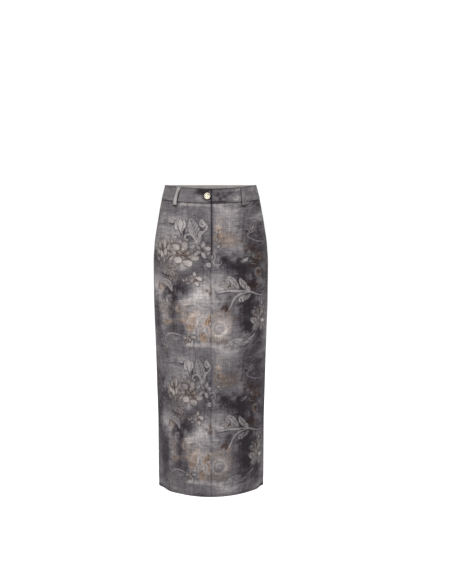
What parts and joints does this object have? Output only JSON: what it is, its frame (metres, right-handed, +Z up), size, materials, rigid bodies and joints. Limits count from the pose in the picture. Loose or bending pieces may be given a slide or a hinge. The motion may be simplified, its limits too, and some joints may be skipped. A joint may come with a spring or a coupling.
{
  "type": "denim pencil skirt",
  "caption": "Long straight denim skirt in its worn form, printed with faded flowers and scrolls; waistband with belt loops, button and fly, open waist and hem.",
  "frame": {"origin": "middle of the waist, half way up the waistband at the side seams", "axes": "+Z up along the skirt, the front faces -Y, +X is the wearer's left"},
  "size_m": [0.3486, 0.2597, 0.9316],
  "materials": {
    "denim": "washed grey denim twill with a faded all-over flower and scroll print",
    "button_metal": "polished pale metal",
    "zip_tape": "plain woven tape with small metal teeth"
  },
  "bodies": {
    "root": {"front_right": "denim", "front_left": "denim", "back_right": "denim", "back_left": "denim", "waistband": "denim", "belt_loop_front_right": "denim", "belt_loop_front_left": "denim", "belt_loop_back_right": "denim", "belt_loop_back_left": "denim", "belt_loop_back_centre": "denim", "button": "button_metal", "zip_tape": "zip_tape"}
  },
  "joints": []
}
